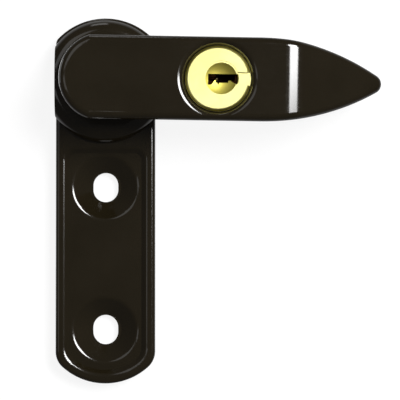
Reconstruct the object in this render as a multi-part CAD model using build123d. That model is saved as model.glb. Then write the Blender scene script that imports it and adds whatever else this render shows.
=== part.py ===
from build123d import *
from math import cos, radians, sin, sqrt, tan
import os

# Locking sash stopper: a screwed base plate, a swinging arm and the pin lock in the arm.
#
# Modelled face up: x runs along the arm, y up the window frame, and z is the height
# above the back of the base. The finished pieces are then stood up, so that the back
# faces +Y and the long way of the base is +Z.

# Reach of cutting forms past a face, and closeness of matched values
OVERLAP = 1.0
MATCH = 0.001
HEIGHT_MATCH = 0.05
UPWARD = 0.2

# Base plate: outline, border and panel
BASE_HALF_WIDTH = 9.3
SCREW_SPACING = 26.7
PIVOT_Y = 33.1
TOP_END_RADIUS = 12.3
TOP_END_Y = 32.75
BOTTOM_END_RADIUS = 12.0
BOTTOM_END_Y = -11.4
BASE_TOP_CORNER_RADIUS = 1.6
BASE_BOTTOM_CORNER_RADIUS = 3.8
BASE_HEIGHT = 4.2
BASE_EDGE_RADIUS = 0.7
BORDER_WIDTH = 1.65
BORDER_SLOPE_WIDTH = 0.9
PANEL_HEIGHT = 3.45
PANEL_TOP_Y = 20.6
PANEL_TOP_CORNER_RADIUS = 2.2
PANEL_BOTTOM_CORNER_RADIUS = 4.0
BORDER_CREST_RADIUS = 0.9

# Base plate: dished screw holes
DISH_RADIUS = 6.0
DISH_FLOOR_RADIUS = 2.95
DISH_FLOOR_HEIGHT = 1.3
DISH_RIM_RADIUS = 1.3
SLOT_WIDTH = 4.7
SLOT_LENGTH = 5.5

# Base plate: pivot dome and the notched collar on it
DOME_FOOT_RADIUS = 11.4
DOME_TOP_RADIUS = 9.0
DOME_HEIGHT = 7.2
DOME_FLANK_BOW = 0.14
DOME_FLANK_RADIUS = 0.2
SHOULDER_MIDDLE_ANGLE = 45.0
COLLAR_RADIUS = 5.7
COLLAR_HEIGHT = 9.9
NOTCH_WIDTH = 2.7
NOTCH_FLOOR = 8.3
NOTCH_COUNT = 4

# Base plate: cored back
WALL = 1.6
CORE_DEPTH = 1.9
CORE_CORNER_RADIUS = 0.8
SCREW_BOSS_RADIUS = 7.4
PIVOT_BOSS_RADIUS = 8.6
CORE_REACH = 5.3

# Pivot: spigot, screw and washers
SPIGOT_RADIUS = 3.6
SPIGOT_CLEARANCE = 0.05
SPIGOT_END = 2.4
KEY_FLAT = 2.6
KEY_END = 1.7
PIVOT_RECESS_RADIUS = 6.7
PIVOT_RECESS_DEPTH = 2.9
KEYED_WASHER_RADIUS = 5.6
KEYED_WASHER_HEIGHT = 0.8
SPRING_WASHER_RADIUS = 6.2
SPRING_WASHER_BORE = 3.9
SPRING_WASHER_THICKNESS = 0.28
SPRING_WASHER_BEND_RADIUS = 100.0
PIVOT_SCREW_RADIUS = 1.65
PIVOT_SCREW_DEPTH = 9.0
PIVOT_HEAD_RADIUS = 3.6
PIVOT_HEAD_HEIGHT = 1.25
PIVOT_HEAD_EDGE = 0.5
PIVOT_HEAD_GAP = 0.1
PIVOT_SCREW_TIP_GAP = 1.0
SPRING_WASHER_GAP = 0.02
RECESS_SLOT_WIDTH = 0.8
RECESS_SLOT_DEPTH = 0.7
THRUST_INNER_RADIUS = 5.95
THRUST_OUTER_RADIUS = 7.2
THRUST_THICKNESS = 0.38

# Arm: outline and profile, from the pivot
ARM_DROOP = 1.0
ARM_HALF_WIDTH = 7.75
ARM_DRAFT = 3.2
ARM_END_RADIUS = 8.2
ARM_STRAIGHT_END = 28.9
ARM_NOSE_RADIUS = 44.0
ARM_TIP_RADIUS = 2.3
ARM_TIP_LEAST_RADIUS = 0.5
ARM_NOSE_MIDDLE_TURN = 16.0
ARM_UNDERSIDE = 7.6
ARM_TOP = 19.0
ARM_BEND_X = 35.0
ARM_BEND_RADIUS = 7.0
ARM_NOSE_SLOPE = 27.0
ARM_EDGE_RADIUS = 1.3
ARM_REACH = 54.0

# Arm: barrel seat and cavities
BARREL_X = 21.0
SEAT_RIM_RADIUS = 7.45
SEAT_RIM_ROUND = 1.3
SEAT_RIM_START = 4.0
SEAT_RIM_END = 75.0
SEAT_FOOT_RADIUS = 6.1
SEAT_DEPTH = 1.3
SEAT_RUN_OUT = 0.8
BARREL_CLEARANCE = 0.03
COLLAR_RECESS_RADIUS = 5.9
COLLAR_RECESS_HEIGHT = 10.2
CHANNEL_HALF_WIDTH = 2.6
CHANNEL_HEIGHT = 9.95
CHANNEL_START = 4.4
NOSE_CORE_START = 32.5
NOSE_CORE_END = 42.5
NOSE_CORE_WALL = 2.0
NOSE_CORE_ROOF = 1.8

# Arm cover and its screws
COVER_THICKNESS = 0.8
COVER_INSET = 1.25
COVER_START_RADIUS = 8.3
COVER_END = 44.0
COVER_GAP = 0.05
COVER_SCREW_PLACES = [(11.6, 4.35), (11.6, -4.35), (30.1, 0.0)]
COVER_SCREW_RADIUS = 0.9
COVER_SCREW_DEPTH = 12.0
COVER_HEAD_RADIUS = 1.75
COVER_HEAD_DEPTH = 0.75
COVER_SCREW_TIP_GAP = 0.6
DRIVER_SLOT_TURN = 35.0
DRIVER_SLOT_WIDTH = 0.45
DRIVER_SLOT_DEPTH = 0.4

# Lock barrel
BARREL_RADIUS = 6.0
BARREL_FACE = 18.6
BARREL_CHAMFER = 0.5
FLANGE_RADIUS = 6.5
FLANGE_TOP = 12.8
BARREL_REAR = 11.4
KEY_GROOVE_WIDTH = 2.4
KEY_GROOVE_DEPTH = 0.5

# Plug, its clip and the cam
PLUG_OFFSET = 0.6
PLUG_RADIUS = 3.2
PLUG_CLEARANCE = 0.02
PLUG_FACE = 18.5
PLUG_DISH_RADIUS = 5.4
PLUG_DISH_DEPTH = 0.85
KEYWAY_FLOOR = 12.2
KEYWAY_MOUTH_DEPTH = 1.4
KEYWAY_MOUTH_POINTS = [
    (-2.4, 0.85), (3.4, 0.85), (3.4, -0.45), (2.9, -1.1), (1.9, -0.55), (1.55, 0.2), (-0.2, 0.25),
    (-0.45, -1.05), (-0.65, -1.05), (-0.8, -0.35), (-1.25, -0.35), (-1.75, -1.15), (-2.4, -1.15),
]
KEYWAY_POINTS = [(-1.0, 0.75), (2.55, 0.75), (2.55, -0.35), (1.3, -0.35), (1.3, -0.75), (-1.0, -0.75)]
TAIL_RADIUS = 2.2
TAIL_FLAT = 1.7
TAIL_GROOVE_RADIUS = 1.6
CLIP_RADIUS = 4.2
CLIP_THICKNESS = 0.45
CLIP_GAP = 0.05
CLIP_MOUTH = 2.4
CAM_RADIUS = 3.4
CAM_TOP = 10.75
CAM_BOTTOM = 9.95
CAM_PIN_RADIUS = 0.8
CAM_PIN_THROW = 1.5
CAM_PIN_ANGLE = -45.0
CAM_PIN_END = 8.6

# Bolt
BOLT_BOTTOM = 8.5
BOLT_TOP = 9.8
BOLT_TIP_X = 6.0
BOLT_SHOULDER_X = 8.4
BOLT_TIP_HALF_WIDTH = 1.1
BOLT_HALF_WIDTH = 2.5
YOKE_START_X = 19.6
YOKE_END_X = 25.4
YOKE_HALF_WIDTH = 3.4
YOKE_SLOT_CLEARANCE = 0.1
YOKE_SLOT_BOTTOM = -2.7
YOKE_SLOT_TOP = 0.0
BOLT_CORNER_RADIUS = 0.35

# Pins, springs and the strip over the chambers
PIN_COUNT = 4
PIN_RADIUS = 0.5
CHAMBER_RADIUS = 0.55
FIRST_PIN_HEIGHT = 16.75
PIN_PITCH = 1.3
KEY_PIN_LENGTHS = [2.3, 2.6, 2.2, 2.5]
KEY_PIN_OUTER_X = -3.12
KEY_PIN_POINT = 0.2
DRIVER_INNER_X = -3.3
DRIVER_LENGTH = 1.2
PIN_CHAMFER = 0.1
STRIP_INNER_X = -5.4
STRIP_WIDTH = 1.8
STRIP_TOP = 17.55
SPRING_RADIUS = 0.36
SPRING_WIRE_RADIUS = 0.075
SPRING_TURNS = 3
PIN_HOLE_INNER_X = -0.9


def cylinder(radius, bottom, top, x=0.0, y=0.0):
    """Upright cylinder between two heights."""
    return Pos(x, y, bottom) * extrude(Circle(radius), top - bottom)


def prism(face, bottom, top):
    """Flat outline raised between two heights."""
    return Pos(0, 0, bottom) * extrude(face, top - bottom)


def block(x_start, x_end, half_width, bottom, top):
    """Bar along x, centred on y = 0."""
    centre = ((x_start + x_end) / 2, 0, (bottom + top) / 2)
    return Pos(*centre) * Box(x_end - x_start, 2 * half_width, top - bottom)


def cone(bottom_radius, top_radius, bottom, top):
    """Frustum on the z axis between two heights."""
    profile = Polyline((0, bottom), (bottom_radius, bottom), (top_radius, top), (0, top), close=True)
    return revolve(Plane.XZ * make_face(profile), Axis.Z)


def ring_edges(part, radius, height):
    """Circular edges of one radius at one height."""
    def matches(edge):
        if edge.geom_type != GeomType.CIRCLE:
            return False
        same_radius = abs(edge.radius - radius) < MATCH
        return same_radius and abs(edge.center().Z - height) < HEIGHT_MATCH
    return part.edges().filter_by(matches)


def rounded_corners(face, top_radius, bottom_radius):
    """Round the two upper and the two lower corners of an outline."""
    face = fillet(face.vertices().sort_by(Axis.Y)[-2:], top_radius)
    return fillet(face.vertices().sort_by(Axis.Y)[:2], bottom_radius)


def base_outline():
    """Outline of the base plate: straight sides, an arc at each end, soft corners."""
    half = BASE_HALF_WIDTH
    top_y = TOP_END_Y + sqrt(TOP_END_RADIUS ** 2 - half ** 2)
    bottom_y = BOTTOM_END_Y - sqrt(BOTTOM_END_RADIUS ** 2 - half ** 2)
    right = Line((half, bottom_y), (half, top_y))
    top = ThreePointArc((half, top_y), (0, TOP_END_Y + TOP_END_RADIUS), (-half, top_y))
    left = Line((-half, top_y), (-half, bottom_y))
    bottom = ThreePointArc((-half, bottom_y), (0, BOTTOM_END_Y - BOTTOM_END_RADIUS), (half, bottom_y))
    face = make_face(Curve() + [right, top, left, bottom])
    return rounded_corners(face, BASE_TOP_CORNER_RADIUS, BASE_BOTTOM_CORNER_RADIUS)


def panel_outline(inset):
    """Outline of the sunken panel: follows the sides and the bottom arc, straight at the top."""
    half = BASE_HALF_WIDTH - inset
    radius = BOTTOM_END_RADIUS - inset
    top_y = PANEL_TOP_Y - inset + BORDER_WIDTH
    bottom_y = BOTTOM_END_Y - sqrt(radius ** 2 - half ** 2)
    right = Line((half, bottom_y), (half, top_y))
    top = Line((half, top_y), (-half, top_y))
    left = Line((-half, top_y), (-half, bottom_y))
    bottom = ThreePointArc((-half, bottom_y), (0, BOTTOM_END_Y - radius), (half, bottom_y))
    face = make_face(Curve() + [right, top, left, bottom])
    lost = inset - BORDER_WIDTH
    return rounded_corners(face, PANEL_TOP_CORNER_RADIUS - lost, PANEL_BOTTOM_CORNER_RADIUS - lost)


def base_plate():
    """Plate with a rounded border around a sunken panel."""
    plate = prism(base_outline(), 0, BASE_HEIGHT)
    plate = fillet(plate.faces().sort_by(Axis.Z)[-1].edges(), BASE_EDGE_RADIUS)
    crest = Pos(0, 0, BASE_HEIGHT) * panel_outline(BORDER_WIDTH)
    floor = Pos(0, 0, PANEL_HEIGHT) * panel_outline(BORDER_WIDTH + BORDER_SLOPE_WIDTH)
    plate = plate - loft([floor, crest])
    return fillet(plate.faces().sort_by(Axis.Z)[-1].inner_wires()[0].edges(), BORDER_CREST_RADIUS)


def pivot_dome():
    """Round dome under the arm's end, its flanks cut back to the sides of the plate."""
    shoulder_width = DOME_FOOT_RADIUS - DOME_TOP_RADIUS
    rise = DOME_HEIGHT - BASE_HEIGHT
    shoulder_radius = (shoulder_width ** 2 + rise ** 2) / (2 * rise)
    middle = radians(SHOULDER_MIDDLE_ANGLE)
    centre = (DOME_TOP_RADIUS, DOME_HEIGHT - shoulder_radius)
    shoulder = ThreePointArc(
        (DOME_FOOT_RADIUS, BASE_HEIGHT),
        (centre[0] + shoulder_radius * sin(middle), centre[1] + shoulder_radius * cos(middle)),
        (DOME_TOP_RADIUS, DOME_HEIGHT),
    )
    rest = Polyline(
        (DOME_TOP_RADIUS, DOME_HEIGHT),
        (0, DOME_HEIGHT),
        (0, PANEL_HEIGHT),
        (DOME_FOOT_RADIUS, PANEL_HEIGHT),
        (DOME_FOOT_RADIUS, BASE_HEIGHT),
    )
    dome = revolve(Plane.XZ * make_face(Curve() + [shoulder, rest]), Axis.Z)
    flank = BASE_HALF_WIDTH + DOME_FLANK_BOW
    reach = DOME_FOOT_RADIUS
    right = ThreePointArc((BASE_HALF_WIDTH, -reach), (flank, 0), (BASE_HALF_WIDTH, reach))
    left = ThreePointArc((-BASE_HALF_WIDTH, reach), (-flank, 0), (-BASE_HALF_WIDTH, -reach))
    top = Line((BASE_HALF_WIDTH, reach), (-BASE_HALF_WIDTH, reach))
    bottom = Line((-BASE_HALF_WIDTH, -reach), (BASE_HALF_WIDTH, -reach))
    band = make_face(Curve() + [right, top, left, bottom])
    dome = dome & prism(band, 0, DOME_HEIGHT)
    flank_edges = [edge for edge in dome.edges() if is_flank_edge(edge)]
    return Pos(0, PIVOT_Y, 0) * fillet(flank_edges, DOME_FLANK_RADIUS)


def is_flank_edge(edge):
    """True for the curved top edge of a flank of the dome."""
    middle = edge @ 0.5
    free_form = edge.geom_type == GeomType.BSPLINE
    return free_form and abs(middle.X) > BASE_HALF_WIDTH and middle.Z > BASE_HEIGHT


def screw_dish():
    """Dish of one screw hole with the slot through its floor."""
    dish = cone(DISH_FLOOR_RADIUS, DISH_RADIUS, DISH_FLOOR_HEIGHT, PANEL_HEIGHT)
    slot = Rot(Z=90) * SlotOverall(SLOT_LENGTH, SLOT_WIDTH)
    return dish + prism(slot, 0, PANEL_HEIGHT)


def rear_cores(hole_y):
    """Pockets behind the panel, between the screw bosses and below the pivot boss."""
    half = BASE_HALF_WIDTH - WALL
    bosses = [(hole_y, SCREW_BOSS_RADIUS), (-hole_y, SCREW_BOSS_RADIUS), (PIVOT_Y, PIVOT_BOSS_RADIUS)]
    spans = [
        (-hole_y + CORE_REACH, hole_y - CORE_REACH),
        (hole_y + CORE_REACH, PIVOT_Y - CORE_REACH),
    ]
    cores = []
    for low, high in spans:
        face = Pos(0, (low + high) / 2) * Rectangle(2 * half, high - low)
        for y, radius in bosses:
            face = face - Pos(0, y) * Circle(radius)
        corners = [vertex for vertex in face.vertices() if abs(abs(vertex.X) - half) < MATCH]
        cores.append(prism(fillet(corners, CORE_CORNER_RADIUS), 0, CORE_DEPTH))
    return cores


def base_collar():
    """Ring that stands up into the arm, with a notch for the bolt every quarter turn."""
    collar = cylinder(COLLAR_RADIUS, DOME_HEIGHT - WALL, COLLAR_HEIGHT)
    for index in range(NOTCH_COUNT):
        notch = block(0, DOME_FOOT_RADIUS, NOTCH_WIDTH / 2, NOTCH_FLOOR, COLLAR_HEIGHT)
        collar = collar - Rot(Z=index * 360 / NOTCH_COUNT) * notch
    return Pos(0, PIVOT_Y, 0) * collar


def base_casting():
    """Whole base plate, cast as one piece."""
    hole_y = SCREW_SPACING / 2
    part = base_plate() + pivot_dome()
    for y in (hole_y, -hole_y):
        part = part - Pos(0, y, 0) * screw_dish()
    part = fillet(ring_edges(part, DISH_RADIUS, PANEL_HEIGHT), DISH_RIM_RADIUS)
    part = part + base_collar()
    for core in rear_cores(hole_y):
        part = part - core
    bore = cylinder(SPIGOT_RADIUS + SPIGOT_CLEARANCE, 0, COLLAR_HEIGHT, y=PIVOT_Y)
    recess = cylinder(PIVOT_RECESS_RADIUS, 0, PIVOT_RECESS_DEPTH, y=PIVOT_Y)
    return part - bore - recess


def thrust_washer():
    """Plastic ring that the arm turns on."""
    top = DOME_HEIGHT + THRUST_THICKNESS
    ring = Circle(THRUST_OUTER_RADIUS) - Circle(THRUST_INNER_RADIUS)
    return Pos(0, PIVOT_Y, 0) * prism(ring, DOME_HEIGHT, top)


def arm_outline(inset=0.0):
    """Arm seen from above: blunt arc over the pivot, straight sides and an ogive nose."""
    half = ARM_HALF_WIDTH - inset
    end_radius = ARM_END_RADIUS - inset
    nose_radius = ARM_NOSE_RADIUS - inset
    end_x = -sqrt(end_radius ** 2 - half ** 2)
    nose_centre = half - nose_radius
    apex_x = ARM_STRAIGHT_END + sqrt(nose_radius ** 2 - nose_centre ** 2)
    turn = radians(ARM_NOSE_MIDDLE_TURN)
    middle = (ARM_STRAIGHT_END + nose_radius * sin(turn), nose_centre + nose_radius * cos(turn))
    lines = [
        ThreePointArc((end_x, half), (-end_radius, 0), (end_x, -half)),
        Line((end_x, -half), (ARM_STRAIGHT_END, -half)),
        ThreePointArc((ARM_STRAIGHT_END, -half), (middle[0], -middle[1]), (apex_x, 0)),
        ThreePointArc((apex_x, 0), middle, (ARM_STRAIGHT_END, half)),
        Line((ARM_STRAIGHT_END, half), (end_x, half)),
    ]
    face = make_face(Curve() + lines)
    apex = face.vertices().sort_by(Axis.X)[-1]
    return fillet(apex, max(ARM_TIP_RADIUS - inset, ARM_TIP_LEAST_RADIUS))


def arm_profile(roof=0.0):
    """Side view of the arm: flat, then sloping down from the bend to the tip."""
    top = ARM_TOP - roof
    bend = Line((-ARM_REACH, top), (ARM_BEND_X, top))
    drop = (ARM_REACH - ARM_BEND_X) * tan(radians(ARM_NOSE_SLOPE))
    outline = Polyline(
        (-ARM_REACH, 0),
        (-ARM_REACH, top),
        (ARM_BEND_X, top),
        (ARM_REACH, top - drop),
        (ARM_REACH, 0),
        close=True,
    )
    face = make_face(outline)
    corner = face.vertices().sort_by_distance(bend @ 1)[0]
    return fillet(corner, ARM_BEND_RADIUS)


def arm_block():
    """Outer form of the arm with its top edge rounded all the way round."""
    drawn_in = (ARM_TOP - ARM_UNDERSIDE) * tan(radians(ARM_DRAFT))
    upper = Pos(0, 0, ARM_TOP) * arm_outline()
    lower = Pos(0, 0, ARM_UNDERSIDE) * arm_outline(drawn_in)
    body = loft([lower, upper])
    sides = extrude(Plane.XZ * arm_profile(), 2 * ARM_HALF_WIDTH, both=True)
    body = body & sides
    top_edges = body.faces().sort_by(Axis.Z)[-1].edges()
    for face in body.faces():
        if face.normal_at().Z > UPWARD:
            top_edges += face.edges()
    inner = [edge for edge in top_edges if is_side_edge(edge)]
    return fillet(inner, ARM_EDGE_RADIUS)


def is_side_edge(edge):
    """True for an edge on the arm's outline, false for one that crosses the arm."""
    start, end = edge @ 0, edge @ 1
    crosses = abs(start.X - end.X) < MATCH and abs(start.Y + end.Y) < MATCH
    return not crosses or abs(start.X) > ARM_REACH or start.X < 0


def cover_outline(gap=0.0):
    """Outline of the plate under the arm, clear of the thrust washer."""
    face = arm_outline(COVER_INSET + gap)
    length = COVER_END - gap
    face = face & Pos(length / 2, 0) * Rectangle(length, 4 * ARM_HALF_WIDTH)
    face = face - Circle(COVER_START_RADIUS + gap)
    return face


def nose_core():
    """Hollow in the nose, closed by the cover."""
    length = NOSE_CORE_END - NOSE_CORE_START
    face = arm_outline(NOSE_CORE_WALL)
    face = face & Pos(NOSE_CORE_START + length / 2, 0) * Rectangle(length, 4 * ARM_HALF_WIDTH)
    face = fillet(face.vertices(), CORE_CORNER_RADIUS)
    roof = extrude(Plane.XZ * arm_profile(NOSE_CORE_ROOF), 2 * ARM_HALF_WIDTH, both=True)
    return prism(face, ARM_UNDERSIDE, ARM_TOP) & roof


def spigot():
    """Pin of the arm that runs in the base, with a double-D end for the washer."""
    top = COLLAR_RECESS_HEIGHT + WALL
    round_part = cylinder(SPIGOT_RADIUS, SPIGOT_END, top)
    keyed_part = cylinder(SPIGOT_RADIUS, KEY_END, top) & block(
        -SPIGOT_RADIUS, SPIGOT_RADIUS, KEY_FLAT, KEY_END, top
    )
    return round_part + keyed_part - cylinder(PIVOT_SCREW_RADIUS, KEY_END, PIVOT_SCREW_DEPTH)


def seat_cutter():
    """Form of the barrel's seat: a rounded rim that runs down to the bore."""
    centre_z = ARM_TOP - SEAT_RIM_ROUND

    def on_rim(angle):
        turn = radians(angle)
        return (SEAT_RIM_RADIUS - SEAT_RIM_ROUND * sin(turn), centre_z + SEAT_RIM_ROUND * cos(turn))

    first = on_rim(SEAT_RIM_START)
    last = on_rim(SEAT_RIM_END)
    above = ARM_TOP + OVERLAP
    outer = (first[0] + SEAT_RUN_OUT, first[1] + SEAT_RUN_OUT * tan(radians(SEAT_RIM_START)))
    foot = ARM_TOP - SEAT_DEPTH
    lines = [
        ThreePointArc(first, on_rim((SEAT_RIM_START + SEAT_RIM_END) / 2), last),
        Polyline(last, (SEAT_FOOT_RADIUS, foot), (0, foot), (0, above), (outer[0], above), outer, first),
    ]
    return revolve(Plane.XZ * make_face(Curve() + lines), Axis.Z)


def arm_casting():
    """Whole arm, cast as one piece."""
    part = arm_block()
    part = part - Pos(BARREL_X, 0, 0) * seat_cutter()
    bore = BARREL_RADIUS + BARREL_CLEARANCE
    flange_bore = FLANGE_RADIUS + BARREL_CLEARANCE
    part = part - cylinder(bore, ARM_UNDERSIDE, ARM_TOP, x=BARREL_X)
    part = part - cylinder(flange_bore, ARM_UNDERSIDE, FLANGE_TOP, x=BARREL_X)
    part = part - cylinder(COLLAR_RECESS_RADIUS, ARM_UNDERSIDE, COLLAR_RECESS_HEIGHT)
    part = part - block(CHANNEL_START, BARREL_X, CHANNEL_HALF_WIDTH, ARM_UNDERSIDE, CHANNEL_HEIGHT)
    part = part - nose_core()
    part = part - prism(cover_outline(), ARM_UNDERSIDE, ARM_UNDERSIDE + COVER_THICKNESS)
    for x, y in COVER_SCREW_PLACES:
        part = part - cylinder(COVER_SCREW_RADIUS, ARM_UNDERSIDE, COVER_SCREW_DEPTH, x=x, y=y)
    return part + spigot()


def pivot_screw():
    """Pan head screw with a cross recess, from behind."""
    head_top = KEY_END - PIVOT_HEAD_GAP
    head = cylinder(PIVOT_HEAD_RADIUS, head_top - PIVOT_HEAD_HEIGHT, head_top)
    head = fillet(head.faces().sort_by(Axis.Z)[0].edges(), PIVOT_HEAD_EDGE)
    part = head + cylinder(PIVOT_SCREW_RADIUS, head_top, PIVOT_SCREW_DEPTH - PIVOT_SCREW_TIP_GAP)
    reach = PIVOT_HEAD_RADIUS / 2
    bottom = head_top - PIVOT_HEAD_HEIGHT
    bar = block(-reach, reach, RECESS_SLOT_WIDTH / 2, bottom, bottom + RECESS_SLOT_DEPTH)
    return part - bar - Rot(Z=90) * bar


def keyed_washer():
    """Washer with a double-D hole on the end of the spigot."""
    bottom = SPIGOT_END - KEYED_WASHER_HEIGHT
    hole = cylinder(SPIGOT_RADIUS, bottom, SPIGOT_END)
    hole = hole & block(-SPIGOT_RADIUS, SPIGOT_RADIUS, KEY_FLAT, bottom, SPIGOT_END)
    return cylinder(KEYED_WASHER_RADIUS, bottom, SPIGOT_END) - hole


def curved_washer():
    """Spring washer bent about the x axis, between the keyed washer and the base."""
    crown = SPIGOT_END + SPRING_WASHER_GAP
    inner = SPRING_WASHER_BEND_RADIUS
    outer = inner + SPRING_WASHER_THICKNESS
    centre_z = crown + outer
    sheet = Rot(Y=90) * extrude(Circle(outer) - Circle(inner), SPRING_WASHER_RADIUS, both=True)
    ring = Circle(SPRING_WASHER_RADIUS) - Circle(SPRING_WASHER_BORE)
    washer = prism(ring, crown - OVERLAP, crown + OVERLAP) & Pos(0, 0, centre_z) * sheet
    return Pos(0, PIVOT_Y, 0) * washer


def arm_cover():
    """Plate that closes the arm's underside."""
    plate = prism(cover_outline(COVER_GAP), ARM_UNDERSIDE, ARM_UNDERSIDE + COVER_THICKNESS)
    for x, y in COVER_SCREW_PLACES:
        plate = plate - Pos(x, y, 0) * cover_screw_form(COVER_THICKNESS)
    return plate


def cover_screw_form(depth):
    """Countersunk head and shank, flush with the cover."""
    head = cone(COVER_HEAD_RADIUS, COVER_SCREW_RADIUS, ARM_UNDERSIDE, ARM_UNDERSIDE + COVER_HEAD_DEPTH)
    return head + cylinder(COVER_SCREW_RADIUS, ARM_UNDERSIDE, ARM_UNDERSIDE + depth)


def cover_screws():
    """Three countersunk screws of the cover."""
    depth = COVER_SCREW_DEPTH - ARM_UNDERSIDE - COVER_SCREW_TIP_GAP
    slot_end = ARM_UNDERSIDE + DRIVER_SLOT_DEPTH
    slot = block(-COVER_HEAD_RADIUS, COVER_HEAD_RADIUS, DRIVER_SLOT_WIDTH / 2, ARM_UNDERSIDE, slot_end)
    screw = cover_screw_form(depth) - Rot(Z=DRIVER_SLOT_TURN) * slot
    return Compound(children=[Pos(x, y, 0) * screw for x, y in COVER_SCREW_PLACES])


def pin_heights():
    """Heights of the pin chambers, from the face of the barrel inwards."""
    return [FIRST_PIN_HEIGHT - index * PIN_PITCH for index in range(PIN_COUNT)]


def radial_pin(radius, start_x, end_x, height):
    """Cylinder along x at one height."""
    length = end_x - start_x
    return Pos(start_x, 0, height) * Rot(Y=90) * extrude(Circle(radius), length)


def lock_barrel():
    """Brass barrel with a rear flange, the bore for the plug and the pin chambers."""
    body = cylinder(BARREL_RADIUS, BARREL_REAR, BARREL_FACE)
    body = chamfer(body.faces().sort_by(Axis.Z)[-1].edges(), BARREL_CHAMFER)
    body = body + cylinder(FLANGE_RADIUS, BARREL_REAR, FLANGE_TOP)
    body = body - cylinder(PLUG_RADIUS + PLUG_CLEARANCE, BARREL_REAR, BARREL_FACE, x=PLUG_OFFSET)
    floor = BARREL_FACE - KEY_GROOVE_DEPTH
    groove_end = BARREL_RADIUS + OVERLAP
    body = body - block(PLUG_OFFSET, groove_end, KEY_GROOVE_WIDTH / 2, floor, BARREL_FACE)
    for height in pin_heights():
        body = body - radial_pin(CHAMBER_RADIUS, STRIP_INNER_X, PLUG_OFFSET, height)
    return body - block(-FLANGE_RADIUS, STRIP_INNER_X, STRIP_WIDTH / 2, BARREL_REAR, STRIP_TOP)


def chamber_strip():
    """Strip that closes the chambers, flush with the barrel."""
    strip = block(-FLANGE_RADIUS, STRIP_INNER_X, STRIP_WIDTH / 2, BARREL_REAR, STRIP_TOP)
    return strip & cylinder(BARREL_RADIUS, BARREL_REAR, STRIP_TOP)


def keyway_mouth():
    """Outline of the opening for the key in the plug's face."""
    return make_face(Polyline(*KEYWAY_MOUTH_POINTS, close=True))


def keyway_section():
    """Section of the keyway behind the mouth, open towards the pins."""
    return make_face(Polyline(*KEYWAY_POINTS, close=True))


def plug():
    """Plug with a dished face, the keyway, its pin holes and the tail for clip and cam."""
    body = cylinder(PLUG_RADIUS, BARREL_REAR, PLUG_FACE)
    dish = Pos(0, 0, PLUG_FACE + PLUG_DISH_RADIUS - PLUG_DISH_DEPTH) * Sphere(PLUG_DISH_RADIUS)
    body = body - dish
    body = body - prism(keyway_mouth(), PLUG_FACE - KEYWAY_MOUTH_DEPTH, PLUG_FACE)
    body = body - prism(keyway_section(), KEYWAY_FLOOR, PLUG_FACE)
    for height in pin_heights():
        body = body - radial_pin(CHAMBER_RADIUS, -PLUG_RADIUS - OVERLAP, PIN_HOLE_INNER_X, height)
    tail = cylinder(TAIL_RADIUS, CAM_BOTTOM, BARREL_REAR)
    flats = block(-TAIL_RADIUS, TAIL_RADIUS, TAIL_FLAT, CAM_BOTTOM, CAM_TOP)
    keyed = cylinder(TAIL_RADIUS, CAM_BOTTOM, CAM_TOP) & flats
    groove = cylinder(TAIL_GROOVE_RADIUS, CAM_TOP, BARREL_REAR)
    shoulder = tail & cylinder(TAIL_RADIUS, CAM_TOP, BARREL_REAR - CLIP_GAP - CLIP_THICKNESS - CLIP_GAP)
    return body + groove + keyed + shoulder


def plug_clip():
    """C ring in the groove of the plug's tail, against the rear of the barrel."""
    top = BARREL_REAR - CLIP_GAP
    bottom = top - CLIP_THICKNESS
    ring = cylinder(CLIP_RADIUS, bottom, top) - cylinder(TAIL_GROOVE_RADIUS, bottom, top)
    return ring - block(0, CLIP_RADIUS, CLIP_MOUTH / 2, bottom, top)


def drive_cam():
    """Disc with an eccentric pin, staked on the double-D of the tail."""
    disc = cylinder(CAM_RADIUS, CAM_BOTTOM, CAM_TOP)
    hole = cylinder(TAIL_RADIUS, CAM_BOTTOM, CAM_TOP)
    hole = hole & block(-TAIL_RADIUS, TAIL_RADIUS, TAIL_FLAT, CAM_BOTTOM, CAM_TOP)
    angle = radians(CAM_PIN_ANGLE)
    pin_x = CAM_PIN_THROW * cos(angle)
    pin_y = CAM_PIN_THROW * sin(angle)
    return disc - hole + cylinder(CAM_PIN_RADIUS, CAM_PIN_END, CAM_BOTTOM, x=pin_x, y=pin_y)


def lock_bolt():
    """Flat bolt with a yoke at its rear, in its drawn-back place."""
    shank = block(BOLT_SHOULDER_X, YOKE_END_X, BOLT_HALF_WIDTH, BOLT_BOTTOM, BOLT_TOP)
    yoke = block(YOKE_START_X, YOKE_END_X, YOKE_HALF_WIDTH, BOLT_BOTTOM, BOLT_TOP)
    tip = block(BOLT_TIP_X, BOLT_SHOULDER_X + OVERLAP, BOLT_TIP_HALF_WIDTH, BOLT_BOTTOM, BOLT_TOP)
    body = shank + yoke + tip
    body = fillet(body.edges().filter_by(Axis.Z), BOLT_CORNER_RADIUS)
    pin_x = BARREL_X + PLUG_OFFSET + CAM_PIN_THROW * cos(radians(CAM_PIN_ANGLE))
    half = CAM_PIN_RADIUS + YOKE_SLOT_CLEARANCE
    height = YOKE_SLOT_TOP - YOKE_SLOT_BOTTOM
    slot = Pos(pin_x, (YOKE_SLOT_TOP + YOKE_SLOT_BOTTOM) / 2) * Rot(Z=90) * SlotOverall(height, 2 * half)
    return body - prism(slot, BOLT_BOTTOM, BOLT_TOP)


def key_pin(index):
    """Pin in the plug, pointed where it meets the key."""
    height = pin_heights()[index]
    start = KEY_PIN_OUTER_X
    end = start + KEY_PIN_LENGTHS[index]
    pin = radial_pin(PIN_RADIUS, start, end, height)
    pin = chamfer(pin.faces().sort_by(Axis.X)[-1].edges(), KEY_PIN_POINT)
    return pin


def driver_pin(index):
    """Pin in the barrel, at the shear line."""
    height = pin_heights()[index]
    pin = radial_pin(PIN_RADIUS, DRIVER_INNER_X - DRIVER_LENGTH, DRIVER_INNER_X, height)
    return chamfer(pin.faces().sort_by(Axis.X)[0].edges(), PIN_CHAMFER)


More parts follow.
